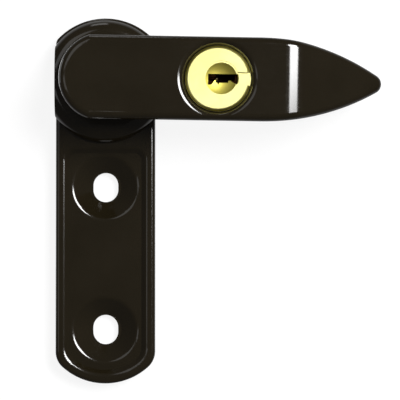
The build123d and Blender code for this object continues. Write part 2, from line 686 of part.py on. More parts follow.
def pin_spring(index):
    """Coil spring between a driver pin and the strip."""
    start = STRIP_INNER_X + SPRING_WIRE_RADIUS
    end = PLUG_OFFSET + DRIVER_INNER_X - DRIVER_LENGTH - SPRING_WIRE_RADIUS
    length = end - start
    path = Helix(length / SPRING_TURNS, length, SPRING_RADIUS)
    section = Plane(path @ 0, z_dir=path % 0) * Circle(SPRING_WIRE_RADIUS)
    coil = sweep(section, path=path)
    return Pos(start, 0, pin_heights()[index]) * Rot(Y=90) * coil


def in_place(shape, x=0.0):
    """Set an arm piece at its distance from the pivot, with the arm's slight droop."""
    return Pos(0, PIVOT_Y, 0) * Rot(Z=-ARM_DROOP) * Pos(x, 0, 0) * shape


def pieces():
    """All pieces by name, face up."""
    plug_x = BARREL_X + PLUG_OFFSET
    found = {
        "base_casting": base_casting(),
        "thrust_washer": thrust_washer(),
        "curved_washer": curved_washer(),
        "arm_casting": in_place(arm_casting()),
        "pivot_screw": in_place(pivot_screw()),
        "keyed_washer": in_place(keyed_washer()),
        "arm_cover": in_place(arm_cover()),
        "cover_screws": in_place(cover_screws()),
        "lock_barrel": in_place(lock_barrel(), BARREL_X),
        "chamber_strip": in_place(chamber_strip(), BARREL_X),
        "plug": in_place(plug(), plug_x),
        "plug_clip": in_place(plug_clip(), plug_x),
        "drive_cam": in_place(drive_cam(), plug_x),
        "lock_bolt": in_place(lock_bolt()),
    }
    for index in range(PIN_COUNT):
        number = index + 1
        found[f"key_pin_{number}"] = in_place(key_pin(index), plug_x)
        found[f"driver_pin_{number}"] = in_place(driver_pin(index), plug_x)
        found[f"pin_spring_{number}"] = in_place(pin_spring(index), BARREL_X)
    return found


def main():
    """Stand every piece up and write it."""
    os.makedirs("parts", exist_ok=True)
    for name, shape in pieces().items():
        export_step(Rot(X=90) * shape, os.path.join("parts", f"{name}.step"))


if __name__ == "__main__":
    main()
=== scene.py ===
import logging
import math
from dataclasses import dataclass
from enum import Enum
from typing import Callable, Dict, Optional, Sequence, Tuple, Union

import bmesh
import bpy
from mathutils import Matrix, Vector


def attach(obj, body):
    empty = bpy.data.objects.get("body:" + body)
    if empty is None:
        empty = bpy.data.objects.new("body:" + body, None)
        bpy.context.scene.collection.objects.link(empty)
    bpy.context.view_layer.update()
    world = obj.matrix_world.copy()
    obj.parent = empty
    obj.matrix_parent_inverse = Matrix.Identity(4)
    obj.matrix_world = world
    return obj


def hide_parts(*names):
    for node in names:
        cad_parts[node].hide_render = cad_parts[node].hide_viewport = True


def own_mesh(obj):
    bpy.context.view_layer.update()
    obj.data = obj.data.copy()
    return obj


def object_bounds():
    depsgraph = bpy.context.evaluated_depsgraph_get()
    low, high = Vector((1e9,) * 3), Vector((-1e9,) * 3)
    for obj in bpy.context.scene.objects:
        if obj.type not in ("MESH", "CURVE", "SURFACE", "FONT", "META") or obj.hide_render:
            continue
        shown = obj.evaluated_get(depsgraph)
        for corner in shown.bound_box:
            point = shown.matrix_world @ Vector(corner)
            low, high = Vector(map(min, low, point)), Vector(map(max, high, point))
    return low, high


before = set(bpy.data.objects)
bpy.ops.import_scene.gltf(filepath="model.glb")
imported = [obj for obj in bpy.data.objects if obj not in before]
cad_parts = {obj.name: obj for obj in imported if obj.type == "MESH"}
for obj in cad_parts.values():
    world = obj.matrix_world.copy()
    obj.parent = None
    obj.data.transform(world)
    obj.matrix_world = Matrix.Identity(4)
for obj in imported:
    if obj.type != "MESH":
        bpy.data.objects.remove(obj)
CAD_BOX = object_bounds()

LOG = logging.getLogger("sash_stopper")

Colour = Tuple[float, float, float]
Point = Tuple[float, float, float]
Span = Tuple[float, float]
Socket = bpy.types.NodeSocket
Feed = Union[float, Tuple[float, ...], Socket]
Inputs = Dict[Union[str, int], Feed]

CAMERA_TARGET: Point = (0.01773, -0.0042, 0.01093)
SHARP_ANGLE = math.radians(32.0)
WELD = 0.0000005


def opaque(colour: Colour) -> Tuple[float, float, float, float]:
    """The colour with full cover."""
    return (*colour, 1.0)


def towards(azimuth: float, elevation: float) -> Vector:
    """Direction from the object to a lamp or camera.

    Args:
        azimuth: Degrees round from the front, to the right.
        elevation: Degrees above level.

    Returns:
        The unit vector.
    """
    turn, rise = math.radians(azimuth), math.radians(elevation)
    return Vector((math.sin(turn) * math.cos(rise), -math.cos(turn) * math.cos(rise), math.sin(rise)))


def placed(name: str, data: bpy.types.ID) -> bpy.types.Object:
    """Put an object into the scene.

    Args:
        name: Its name.
        data: Its mesh, light or camera.

    Returns:
        The object.
    """
    thing = bpy.data.objects.new(name, data)
    bpy.context.scene.collection.objects.link(thing)
    return thing


class Effect(Enum):
    """Shader effects that several finishes share."""

    CAST_RIPPLE = "cast_ripple"
    TONE_DRIFT = "tone_drift"
    TURNED_RINGS = "turned_rings"
    HAIR_SCRATCHES = "hair_scratches"
    # Painted shade: darkens metal inside recesses, between two depths.
    PAINTED_DEPTH_SHADE = "painted_depth_shade"


class NodeSheet:
    """A node tree that is being filled."""

    def __init__(self, tree: bpy.types.NodeTree) -> None:
        """Start on a tree.

        Args:
            tree: The tree that takes the nodes.
        """
        self.tree = tree

    def feed(self, node: bpy.types.Node, inputs: Inputs) -> None:
        """Give a node its values and links.

        Args:
            node: The node.
            inputs: Socket name or number to a value, or to an output socket that feeds it.
        """
        for key, value in inputs.items():
            if isinstance(value, bpy.types.NodeSocket):
                self.tree.links.new(value, node.inputs[key])
            else:
                node.inputs[key].default_value = value

    def add(self, kind: str, inputs: Optional[Inputs] = None, **settings: object) -> bpy.types.Node:
        """Add one node with its values and links.

        Args:
            kind: Blender's name of the node type.
            inputs: Socket name or number to a value, or to an output socket that feeds it.
            settings: Properties of the node itself.

        Returns:
            The new node.
        """
        node = self.tree.nodes.new(kind)
        for key, value in settings.items():
            setattr(node, key, value)
        self.feed(node, inputs or {})
        return node

    def math(self, operation: str, first: Feed, second: Feed = 0.0) -> Socket:
        """Work out one number.

        Args:
            operation: Name of the operation.
            first: Left value or socket.
            second: Right value or socket.

        Returns:
            The socket with the result.
        """
        return self.add("ShaderNodeMath", {0: first, 1: second}, operation=operation).outputs[0]

    def vector(self, operation: str, first: Feed, second: Feed = (0.0, 0.0, 0.0)) -> bpy.types.Node:
        """Work out one vector.

        Args:
            operation: Name of the operation.
            first: Left vector or socket.
            second: Right vector or socket.

        Returns:
            The node, whose first output is a vector.
        """
        return self.add("ShaderNodeVectorMath", {0: first, 1: second}, operation=operation)

    def noise(self, place: Feed, scale: Feed, detail: float = 2.0) -> Socket:
        """Soft noise over the surface.

        Args:
            place: Socket with the coordinates.
            scale: Patches per metre.
            detail: Number of finer layers.

        Returns:
            The socket with values around 0.5.
        """
        node = self.add("ShaderNodeTexNoise", {"Vector": place, "Scale": scale, "Detail": detail})
        return node.outputs[0]

    def spread(self, value: Feed, source: Span = (0.0, 1.0), target: Span = (0.0, 1.0)) -> Socket:
        """Stretch a value from one span to another, and hold it there.

        Args:
            value: The value's socket.
            source: Span that it comes in.
            target: Span that it goes to.

        Returns:
            The socket with the result.
        """
        return self.add("ShaderNodeMapRange", {
            "Value": value, "From Min": source[0], "From Max": source[1],
            "To Min": target[0], "To Max": target[1],
        }).outputs[0]

    def blend(self, mask: Feed, first: Feed, second: Feed) -> Socket:
        """Mix two colours.

        Args:
            mask: 0 for the first, 1 for the second.
            first: First colour.
            second: Second colour.

        Returns:
            The socket with the colour.
        """
        mix = self.add("ShaderNodeMix", {"Factor": mask}, data_type="RGBA")
        first_colour, second_colour, result = 6, 7, 2
        self.feed(mix, {first_colour: first, second_colour: second})
        return mix.outputs[result]

    def choose(self, mask: Feed, first: Feed, second: Feed) -> Socket:
        """Mix two numbers.

        Args:
            mask: 0 for the first, 1 for the second.
            first: First number.
            second: Second number.

        Returns:
            The socket with the number.
        """
        first_number, second_number = 2, 3
        return self.add("ShaderNodeMix", {0: mask, first_number: first, second_number: second},
                        data_type="FLOAT").outputs[0]

    def from_axis(self, place: Feed, centre: Feed) -> Tuple[Socket, Socket]:
        """Where a point lies about an axis along Y.

        Args:
            place: Socket with the coordinates.
            centre: A point of the axis.

        Returns:
            The sockets with the offset from the centre and with the distance from the axis.
        """
        away = self.vector("SUBTRACT", place, centre).outputs[0]
        flat = self.vector("MULTIPLY", away, (1.0, 0.0, 1.0)).outputs[0]
        return away, self.vector("LENGTH", flat).outputs["Value"]

    def along_y(self, place: Feed) -> Socket:
        """The Y part of a vector."""
        return self.add("ShaderNodeSeparateXYZ", {0: place}).outputs[1]


def new_material(name: str) -> Tuple[bpy.types.Material, NodeSheet]:
    """Make a material with no nodes.

    Args:
        name: Its name.

    Returns:
        The material and its sheet.
    """
    material = bpy.data.materials.new(name)
    material.use_nodes = True
    material.node_tree.nodes.clear()
    return material, NodeSheet(material.node_tree)


class EffectLibrary:
    """The shared shader node groups, each built when it is first asked for."""

    def __init__(self) -> None:
        """Start with no group built."""
        self.built: Dict[Effect, bpy.types.NodeTree] = {}
        self.makers: Dict[Effect, Callable[[], bpy.types.NodeTree]] = {
            Effect.CAST_RIPPLE: self.cast_ripple,
            Effect.TONE_DRIFT: self.tone_drift,
            Effect.TURNED_RINGS: self.turned_rings,
            Effect.HAIR_SCRATCHES: self.hair_scratches,
            Effect.PAINTED_DEPTH_SHADE: self.painted_depth_shade,
        }

    def place(self, sheet: NodeSheet, effect: Effect, inputs: Inputs) -> bpy.types.Node:
        """Put an effect into a material.

        Args:
            sheet: The material's node sheet.
            effect: Which effect.
            inputs: Values and links by input name.

        Returns:
            The group node.
        """
        if effect not in self.built:
            self.built[effect] = self.makers[effect]()
        node = sheet.tree.nodes.new("ShaderNodeGroup")
        node.node_tree = self.built[effect]
        sheet.feed(node, inputs)
        return node

    @staticmethod
    def start(effect: Effect, inputs: Sequence[Tuple[str, str, Optional[float]]],
              outputs: Sequence[Tuple[str, str]]) -> Tuple[NodeSheet, bpy.types.Node, bpy.types.Node]:
        """Make an empty group with its sockets.

        Args:
            effect: The effect that the group is for.
            inputs: Name, socket type and first value of each input.
            outputs: Name and socket type of each output.

        Returns:
            The sheet, its input node and its output node.
        """
        tree = bpy.data.node_groups.new(effect.value, "ShaderNodeTree")
        for name, kind, value in inputs:
            socket = tree.interface.new_socket(name=name, in_out="INPUT", socket_type=kind)
            if value is not None:
                socket.default_value = value
        for name, kind in outputs:
            tree.interface.new_socket(name=name, in_out="OUTPUT", socket_type=kind)
        sheet = NodeSheet(tree)
        return sheet, sheet.add("NodeGroupInput"), sheet.add("NodeGroupOutput")

    def cast_ripple(self) -> bpy.types.NodeTree:
        """Faint waviness of sprayed or cast metal, as a height in metres."""
        sheet, given, result = self.start(
            Effect.CAST_RIPPLE,
            [("Place", "NodeSocketVector", None), ("Waves", "NodeSocketFloat", 1000.0),
             ("Depth", "NodeSocketFloat", 0.000001)],
            [("Height", "NodeSocketFloat")],
        )
        finer_scale, finer_share = 3.1, 0.3
        place, waves = given.outputs["Place"], given.outputs["Waves"]
        broad = sheet.noise(place, waves, 1.0)
        finer = sheet.noise(place, sheet.math("MULTIPLY", waves, finer_scale), 1.0)
        both = sheet.math("ADD", broad, sheet.math("MULTIPLY", finer, finer_share))
        sheet.feed(result, {"Height": sheet.math("MULTIPLY", both, given.outputs["Depth"])})
        return sheet.tree

    def tone_drift(self) -> bpy.types.NodeTree:
        """Slow change between two tones of one colour, with fine specks."""
        sheet, given, result = self.start(
            Effect.TONE_DRIFT,
            [("Place", "NodeSocketVector", None), ("Patches", "NodeSocketFloat", 90.0),
             ("Tone", "NodeSocketColor", None), ("Other Tone", "NodeSocketColor", None),
             ("Specks", "NodeSocketFloat", 0.1)],
            [("Colour", "NodeSocketColor"), ("Mask", "NodeSocketFloat")],
        )
        speck_scale, drift_span = 40.0, (0.35, 0.65)
        place, patches = given.outputs["Place"], given.outputs["Patches"]
        drift = sheet.noise(place, patches, 3.0)
        speck = sheet.noise(place, sheet.math("MULTIPLY", patches, speck_scale), 2.0)
        broad = sheet.spread(drift, drift_span)
        fleck = sheet.math("MULTIPLY", sheet.math("SUBTRACT", speck, 0.5), given.outputs["Specks"])
        mask = sheet.math("ADD", broad, fleck)
        colour = sheet.blend(mask, given.outputs["Tone"], given.outputs["Other Tone"])
        sheet.feed(result, {"Colour": colour, "Mask": mask})
        return sheet.tree

    def turned_rings(self) -> bpy.types.NodeTree:
        """Tool marks of the lathe, round an axis along Y, as a height in metres."""
        sheet, given, result = self.start(
            Effect.TURNED_RINGS,
            [("Place", "NodeSocketVector", None), ("Centre", "NodeSocketVector", None),
             ("Rings", "NodeSocketFloat", 4000.0), ("Depth", "NodeSocketFloat", 0.000001)],
            [("Height", "NodeSocketFloat"), ("Mask", "NodeSocketFloat")],
        )
        away, radius = sheet.from_axis(given.outputs["Place"], given.outputs["Centre"])
        travel = sheet.math("ADD", radius, sheet.along_y(away))
        turned = sheet.math("MULTIPLY", travel, given.outputs["Rings"])
        cut = sheet.add("ShaderNodeTexNoise", {"W": turned, "Scale": 1.0, "Detail": 3.0},
                        noise_dimensions="1D").outputs[0]
        height = sheet.math("MULTIPLY", cut, given.outputs["Depth"])
        sheet.feed(result, {"Height": height, "Mask": cut})
        return sheet.tree

    def hair_scratches(self) -> bpy.types.NodeTree:
        """Thin handling scratches in two directions, as a mask."""
        sheet, given, result = self.start(
            Effect.HAIR_SCRATCHES,
            [("Place", "NodeSocketVector", None), ("Marks", "NodeSocketFloat", 400.0),
             ("Amount", "NodeSocketFloat", 0.5)],
            [("Mask", "NodeSocketFloat")],
        )
        turns_and_stretches, thin_span = ((0.6, 14.0), (2.1, 18.0)), (0.62, 0.72)
        masks = []
        for turn, stretch in turns_and_stretches:
            turned = sheet.add("ShaderNodeMapping", {
                "Vector": given.outputs["Place"],
                "Rotation": (0.2, turn, 0.4),
                "Scale": (1.0, 1.0, stretch),
            })
            lines = sheet.noise(turned.outputs[0], given.outputs["Marks"], 2.0)
            masks.append(sheet.spread(lines, thin_span))
        both = sheet.math("MAXIMUM", masks[0], masks[1])
        sheet.feed(result, {"Mask": sheet.math("MULTIPLY", both, given.outputs["Amount"])})
        return sheet.tree

    def painted_depth_shade(self) -> bpy.types.NodeTree:
        """Painted shade round an axis along Y between two depths: darkens the colour inside recesses, as a
        mask and a darkened colour.
        """
        sheet, given, result = self.start(
            Effect.PAINTED_DEPTH_SHADE,
            [("Place", "NodeSocketVector", None), ("Centre", "NodeSocketVector", None),
             ("Radius", "NodeSocketFloat", 0.003), ("Start", "NodeSocketFloat", 0.0),
             ("Reach", "NodeSocketFloat", 0.001), ("End", "NodeSocketFloat", 0.0),
             ("Colour", "NodeSocketColor", None), ("PaintedShade", "NodeSocketColor", None)],
            [("Colour", "NodeSocketColor"), ("Mask", "NodeSocketFloat")],
        )
        blotches, unevenness = 2500.0, 0.4
        place = given.outputs["Place"]
        radius = sheet.from_axis(place, given.outputs["Centre"])[1]
        inside = sheet.math("LESS_THAN", radius, given.outputs["Radius"])
        depth = sheet.along_y(place)
        past = sheet.math("DIVIDE", sheet.math("SUBTRACT", depth, given.outputs["Start"]),
                          given.outputs["Reach"])
        blotch = sheet.math("SUBTRACT", sheet.noise(place, blotches, 2.0), 0.5)
        uneven = sheet.math("MULTIPLY", blotch, unevenness)
        painted_shade = sheet.add("ShaderNodeClamp", {"Value": sheet.math("ADD", past, uneven)}).outputs[0]
        before = sheet.math("LESS_THAN", depth, given.outputs["End"])
        mask = sheet.math("MULTIPLY", painted_shade, sheet.math("MULTIPLY", inside, before))
        colour = sheet.blend(mask, given.outputs["Colour"], given.outputs["PaintedShade"])
        sheet.feed(result, {"Colour": colour, "Mask": mask})
        return sheet.tree


class Finish:
    """What every finish shares: one shader, the object's own coordinates, and two tones that drift."""

    name: str
    tone: Colour
    other_tone: Colour
    patches: float
    specks: float

    def begin(self) -> Tuple[bpy.types.Material, NodeSheet, bpy.types.Node, Socket]:
        """Make the material with its shader.

        Returns:
            The material, its sheet, the shader node and the socket with the coordinates.
        """
        material, sheet = new_material(self.name)
        shader = sheet.add("ShaderNodeBsdfPrincipled")
        sheet.add("ShaderNodeOutputMaterial", {"Surface": shader.outputs[0]})
        return material, sheet, shader, sheet.add("ShaderNodeTexCoord").outputs["Object"]

    def tones(self, effects: EffectLibrary, sheet: NodeSheet, place: Socket) -> bpy.types.Node:
        """Place the drift between the finish's two tones.

        Args:
            effects: The shared node groups.
            sheet: The material's node sheet.
            place: Socket with the coordinates.

        Returns:
            The group node.
        """
        return effects.place(sheet, Effect.TONE_DRIFT, {
            "Place": place, "Patches": self.patches, "Tone": opaque(self.tone),
            "Other Tone": opaque(self.other_tone), "Specks": self.specks,
        })

    @staticmethod
    def relief(sheet: NodeSheet, shader: bpy.types.Node, height: Socket) -> None:
        """Bend the normal by a height in metres.

        Args:
            sheet: The material's node sheet.
            shader: The shader whose normal is bent.
            height: Socket with the height.
        """
        bump = sheet.add("ShaderNodeBump", {"Height": height, "Strength": 1.0, "Distance": 1.0})
        sheet.feed(shader, {"Normal": bump.outputs[0]})


@dataclass(frozen=True)
class PowderCoat(Finish):
    """Gloss brown coat over the castings."""

    name: str = "gloss_brown_coat"
    tone: Colour = (0.0138, 0.0101, 0.0044)
    other_tone: Colour = (0.0168, 0.0125, 0.0060)
    roughness: Span = (0.11, 0.20)
    index: float = 1.80
    waves: float = 900.0
    depth: float = 0.0000006
    patches: float = 120.0
    specks: float = 0.5
    marks: float = 260.0
    wear: float = 0.35

    def material(self, effects: EffectLibrary) -> bpy.types.Material:
        """Build the finish.

        Args:
            effects: The shared node groups.

        Returns:
            The material.
        """
        material, sheet, shader, place = self.begin()
        tones = self.tones(effects, sheet, place)
        marks = effects.place(sheet, Effect.HAIR_SCRATCHES, {
            "Place": place, "Marks": self.marks, "Amount": self.wear,
        })
        ripple = effects.place(sheet, Effect.CAST_RIPPLE, {
            "Place": place, "Waves": self.waves, "Depth": self.depth,
        })
        sheet.feed(shader, {
            "Base Color": tones.outputs["Colour"],
            "Roughness": sheet.spread(marks.outputs["Mask"], target=self.roughness),
            "IOR": self.index,
        })
        self.relief(sheet, shader, ripple.outputs["Height"])
        return material


@dataclass(frozen=True)
class PaintedShade:
    """Painted shade on the metal round an axis: how wide, from which depth to which, and its dark colour.
    """

    radius: float
    start: float
    reach: float
    end: float
    tone: Colour


@dataclass(frozen=True)
class TurnedMetal(Finish):
    """Metal finished on the lathe, with rings about an axis along Y."""

    name: str = "turned_brass"
    tone: Colour = (0.98, 0.93, 0.42)
    other_tone: Colour = (0.94, 0.87, 0.34)
    roughness: Span = (0.46, 0.58)
    centre: Point = (0.0, 0.0, 0.0)
    painted_shades: Tuple[PaintedShade, ...] = ()
    rings: float = 5200.0
    depth: float = 0.0000010
    patches: float = 240.0
    specks: float = 0.3
    marks: float = 500.0
    wear: float = 0.6

    def material(self, effects: EffectLibrary) -> bpy.types.Material:
        """Build the finish.

        Args:
            effects: The shared node groups.

        Returns:
            The material.
        """
        material, sheet, shader, place = self.begin()
        colour = self.tones(effects, sheet, place).outputs["Colour"]
        rings = effects.place(sheet, Effect.TURNED_RINGS, {
            "Place": place, "Centre": self.centre, "Rings": self.rings, "Depth": self.depth,
        })
        marks = effects.place(sheet, Effect.HAIR_SCRATCHES, {
            "Place": place, "Marks": self.marks, "Amount": self.wear,
        })
        # Painted shade: each entry darkens the colour inside a recess round the axis.
        for painted_shade in self.painted_shades:
            colour = effects.place(sheet, Effect.PAINTED_DEPTH_SHADE, {
                "Place": place, "Centre": self.centre, "Radius": painted_shade.radius, "Start": painted_shade.start,
                "Reach": painted_shade.reach, "End": painted_shade.end, "Colour": colour, "PaintedShade": opaque(painted_shade.tone),
            }).outputs["Colour"]
        worn = sheet.math("MAXIMUM", rings.outputs["Mask"], marks.outputs["Mask"])
        sheet.feed(shader, {
            "Base Color": colour,
            "Metallic": 1.0,
            "Roughness": sheet.spread(worn, target=self.roughness),
        })
        self.relief(sheet, shader, rings.outputs["Height"])
        return material


@dataclass(frozen=True)
class StruckMetal(Finish):
    """Plated, rolled or cast metal with faint waviness and handling marks."""

    name: str = "bright_zinc_plate"
    tone: Colour = (0.66, 0.67, 0.68)
    other_tone: Colour = (0.58, 0.60, 0.62)
    roughness: Span = (0.24, 0.40)
    waves: float = 1500.0
    depth: float = 0.0000010
    patches: float = 300.0
    specks: float = 0.6
    marks: float = 700.0
    wear: float = 1.0

    def material(self, effects: EffectLibrary) -> bpy.types.Material:
        """Build the finish.

        Args:
            effects: The shared node groups.

        Returns:
            The material.
        """
        material, sheet, shader, place = self.begin()
        tones = self.tones(effects, sheet, place)
        marks = effects.place(sheet, Effect.HAIR_SCRATCHES, {
            "Place": place, "Marks": self.marks, "Amount": self.wear,
        })
        ripple = effects.place(sheet, Effect.CAST_RIPPLE, {
            "Place": place, "Waves": self.waves, "Depth": self.depth,
        })
        sheet.feed(shader, {
            "Base Color": tones.outputs["Colour"],
            "Metallic": 1.0,
            "Roughness": sheet.spread(marks.outputs["Mask"], target=self.roughness),
        })
        self.relief(sheet, shader, ripple.outputs["Height"])
        return material


@dataclass(frozen=True)
class MouldedNylon(Finish):
    """Black nylon with a fine matt grain."""

    name: str = "black_nylon"
    tone: Colour = (0.018, 0.018, 0.019)
    other_tone: Colour = (0.026, 0.026, 0.027)
    roughness: Span = (0.5, 0.62)
    grain: float = 6000.0
    depth: float = 0.000002
    patches: float = 500.0
    specks: float = 0.8

    def material(self, effects: EffectLibrary) -> bpy.types.Material:
        """Build the finish.

        Args:
            effects: The shared node groups.

        Returns:
            The material.
        """
        material, sheet, shader, place = self.begin()
        tones = self.tones(effects, sheet, place)
        grain = effects.place(sheet, Effect.CAST_RIPPLE, {
            "Place": place, "Waves": self.grain, "Depth": self.depth,
        })
        sheet.feed(shader, {
            "Base Color": tones.outputs["Colour"],
            "Roughness": sheet.spread(tones.outputs["Mask"], target=self.roughness),
        })
        self.relief(sheet, shader, grain.outputs["Height"])
        return material


def dress(material: bpy.types.Material, *nodes: str) -> None:
    """Give carried-over pieces a finish.

    Args:
        material: The finish.
        nodes: Names of the pieces.
    """
    for name in nodes:
        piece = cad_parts[name]
        piece.data.materials.clear()
        piece.data.materials.append(material)
        LOG.info("dressed %s in %s", name, material.name)


@dataclass(frozen=True)
class ArmLine:
    """The arm's own line: from the pivot to its point, a little below level."""

    pivot_z: float = 0.0331
    droop: float = math.radians(1.0)

    def along(self) -> Vector:
        """Direction from the pivot to the arm's point."""
        return Vector((math.cos(self.droop), 0.0, -math.sin(self.droop)))

    def across(self) -> Vector:
        """Direction square to the arm, upwards."""
        return Vector((math.sin(self.droop), 0.0, math.cos(self.droop)))

    def point(self, reach: float, aside: float, height: float) -> Vector:
        """Place in the row frame of a point on the arm.

        Args:
            reach: Distance from the pivot along the arm.
            aside: Distance square to it.
            height: Height above the base's back.

        Returns:
            The point in metres.
        """
        spot = self.along() * reach + self.across() * aside
        return Vector((spot.x, -height, spot.z + self.pivot_z))


def swept(rings: Sequence[Sequence[Vector]]) -> Tuple[list, list]:
    """Closed skin over rings of points, capped at both ends.

    Args:
        rings: Rings with the same number of points each.

    Returns:
        Points and faces.
    """
    count = len(rings[0])
    points = [point for ring in rings for point in ring]
    faces = [tuple(reversed(range(count)))]
    for ring in range(len(rings) - 1):
        start = ring * count
        for number in range(count):
            other = (number + 1) % count
            faces.append((start + number, start + other, start + count + other, start + count + number))
    last = (len(rings) - 1) * count
    faces.append(tuple(range(last, last + count)))
    return points, faces


def new_piece(name: str, body: str, slot: str, material: bpy.types.Material, points: list,
              faces: list) -> bpy.types.Object:
    """Make a piece that stands for a node of the same name.

    Args:
        name: The node that it replaces.
        body: The body that it rides on.
        slot: The record's material slot; not used.
        material: Its finish.
        points: Its points in the row frame.
        faces: Its faces.

    Returns:
        The piece.
    """
    mesh = bpy.data.meshes.new(f"{name}_detailed")
    mesh.from_pydata(points, [], faces)
    shaped = bmesh.new()
    shaped.from_mesh(mesh)
    bmesh.ops.recalc_face_normals(shaped, faces=shaped.faces)
    shaped.to_mesh(mesh)
    shaped.free()
    mesh.polygons.foreach_set("use_smooth", [True] * len(mesh.polygons))
    mesh.set_sharp_from_angle(angle=SHARP_ANGLE)
    mesh.materials.append(material)
    piece = placed(f"{name}_detailed", mesh)
    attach(piece, body)
    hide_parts(name)
    LOG.info("built %s with %d faces", piece.name, len(faces))
    return piece


@dataclass(frozen=True)
class Thread:
    """A screw thread about an axis along Y.

    The crest and the core are radii, and the thread runs from neck_y to tip_y. The ridge's shares are
    of the pitch or of the core.
    """

    crest: float
    core: float
    pitch: float
    neck_y: float
    tip_y: float
    steps: int = 36
    half_root: float = 0.42
    flank: float = 0.36
    sunk: float = 0.96
    growth: float = 2.5
    point: float = 0.72

    def ridge(self, axis: Vector) -> Tuple[list, list]:
        """Skin of the ridge round the core, which grows from nothing at both ends.

        Args:
            axis: Any point of the screw's axis.

        Returns:
            Points and faces.
        """
        start, end = self.neck_y - self.pitch * 0.5, self.tip_y + self.pitch * 0.5
        turns = (start - end) / self.pitch
        count = int(turns * self.steps)
        root, low = self.pitch * self.half_root, self.core * self.sunk
        rings = []
        for number in range(count + 1):
            turned = turns * number / count
            grown = min(1.0, turned * self.growth, (turns - turned) * self.growth)
            top = max(self.core + (self.crest - self.core) * grown, low)
            flat = self.pitch * (self.half_root - self.flank * grown)
            out = Vector((math.cos(turned * math.tau), 0.0, math.sin(turned * math.tau)))
            middle = start - turned * self.pitch
            rings.append([
                Vector((axis.x, middle + shift, axis.z)) + out * reach
                for reach, shift in ((low, -root), (top, -flat), (top, flat), (low, root))
            ])
        return swept(rings)

    def cut(self, shaped: bmesh.types.BMesh, axes: Sequence[Vector]) -> None:
        """Thin the plain shank down to the core behind a short neck, and more at its tip.

        Args:
            shaped: Copy of the screw's mesh.
            axes: A point of each screw's axis.
        """
        neck_end = self.neck_y - self.pitch * 0.3
        tip_start = self.tip_y + self.pitch * 0.5
        for level in (self.neck_y, neck_end, tip_start):
            everything = shaped.verts[:] + shaped.edges[:] + shaped.faces[:]
            bmesh.ops.bisect_plane(shaped, geom=everything, plane_co=(0.0, level, 0.0),
                                   plane_no=(0.0, 1.0, 0.0))
        shank_top, tip_level = self.neck_y - self.pitch * 0.2, self.tip_y + self.pitch * 0.1
        for vert in shaped.verts:
            axis = min(axes, key=lambda spot: math.hypot(vert.co.x - spot.x, vert.co.z - spot.z))
            away = Vector((vert.co.x - axis.x, 0.0, vert.co.z - axis.z))
            if vert.co.y > shank_top or away.length < self.core * 0.5:
                continue
            radius = self.core * (self.point if vert.co.y < tip_level else 1.0)
            place = away.normalized() * radius
            vert.co = Vector((axis.x + place.x, vert.co.y, axis.z + place.z))


def threaded(name: str, material: bpy.types.Material, thread: Thread, axes: Sequence[Vector]) -> None:
    """Build a screw, or a group of like screws, with real threads in place of plain shanks.

    Args:
        name: The node that it replaces.
        material: Its finish.
        thread: The thread.
        axes: A point of each screw's axis.
    """
    shaped = bmesh.new()
    shaped.from_mesh(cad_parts[name].data)
    bmesh.ops.remove_doubles(shaped, verts=shaped.verts[:], dist=WELD)
    thread.cut(shaped, axes)
    shaped.verts.index_update()
    points = [vert.co.copy() for vert in shaped.verts]
    faces = [tuple(vert.index for vert in face.verts) for face in shaped.faces]
    shaped.free()
    for axis in axes:
        more, skins = thread.ridge(axis)
        faces += [tuple(number + len(points) for number in skin) for skin in skins]
        points += more
    new_piece(name, "arm", "zinc_plate", material, points, faces)


@dataclass(frozen=True)
class CoilSpring:
    """A compression spring with closed and ground ends; on the real lock it shortens as its driver pin
    rises.
    """

    number: int
    line: ArmLine = ArmLine()
    foot: float = 0.015605
    length: float = 0.001490
    radius: float = 0.00036
    wire: float = 0.000075
    inset: float = 0.00002
    dead_turns: float = 0.8
    live_turns: float = 3.0
    travel: float = 0.0007
    first_height: float = 0.01675
    pitch: float = 0.0013
    steps: int = 36
    sides: int = 12

    def turns(self) -> float:
        """All the spring's turns."""
        return 2.0 * self.dead_turns + self.live_turns

    def rise(self, turned: float) -> float:
        """Height of the wire's middle above the spring's foot.

        Args:
            turned: Turns from the foot.

        Returns:
            The height in metres.
        """
        closed = self.dead_turns * 2.0 * self.wire + self.inset
        climb = (self.length - 2.0 * closed) / self.live_turns
        if turned < self.dead_turns:
            return self.inset + turned * 2.0 * self.wire
        if turned > self.turns() - self.dead_turns:
            return self.length - self.inset - (self.turns() - turned) * 2.0 * self.wire
        return closed + (turned - self.dead_turns) * climb

    def build(self, material: bpy.types.Material) -> bpy.types.Object:
        """Wind the spring.

        Args:
            material: Its finish.

        Returns:
            The spring.
        """
        along, across, out = self.line.along(), self.line.across(), Vector((0.0, -1.0, 0.0))
        foot = self.line.point(self.foot, 0.0, self.first_height - (self.number - 1) * self.pitch)
        count = int(self.turns() * self.steps)
        rings = []
        for step in range(count + 1):
            turned = self.turns() * step / count
            ray = across * math.cos(turned * math.tau) + out * math.sin(turned * math.tau)
            ring = []
            for side in range(self.sides):
                angle = math.tau * side / self.sides
                height = self.rise(turned) + self.wire * math.sin(angle)
                height = min(max(height, 0.0), self.length)
                ring.append(foot + along * height + ray * (self.radius + self.wire * math.cos(angle)))
            rings.append(ring)
        spring = new_piece(f"pin_spring_{self.number}", "arm", "spring_steel", material, *swept(rings))
        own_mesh(spring)
        return spring


@dataclass
class BasePlate:
    """The screwed plate with its washers."""

    effects: EffectLibrary
    paint: bpy.types.Material
    strip: StruckMetal = StruckMetal("spring_strip", (0.50, 0.50, 0.51), (0.42, 0.42, 0.44), (0.22, 0.36))

    def build(self) -> None:
        """Dress the plate, its thrust ring and the spring washer behind it."""
        dress(self.paint, "base_casting")
        dress(MouldedNylon().material(self.effects), "thrust_washer")
        dress(self.strip.material(self.effects), "curved_washer")


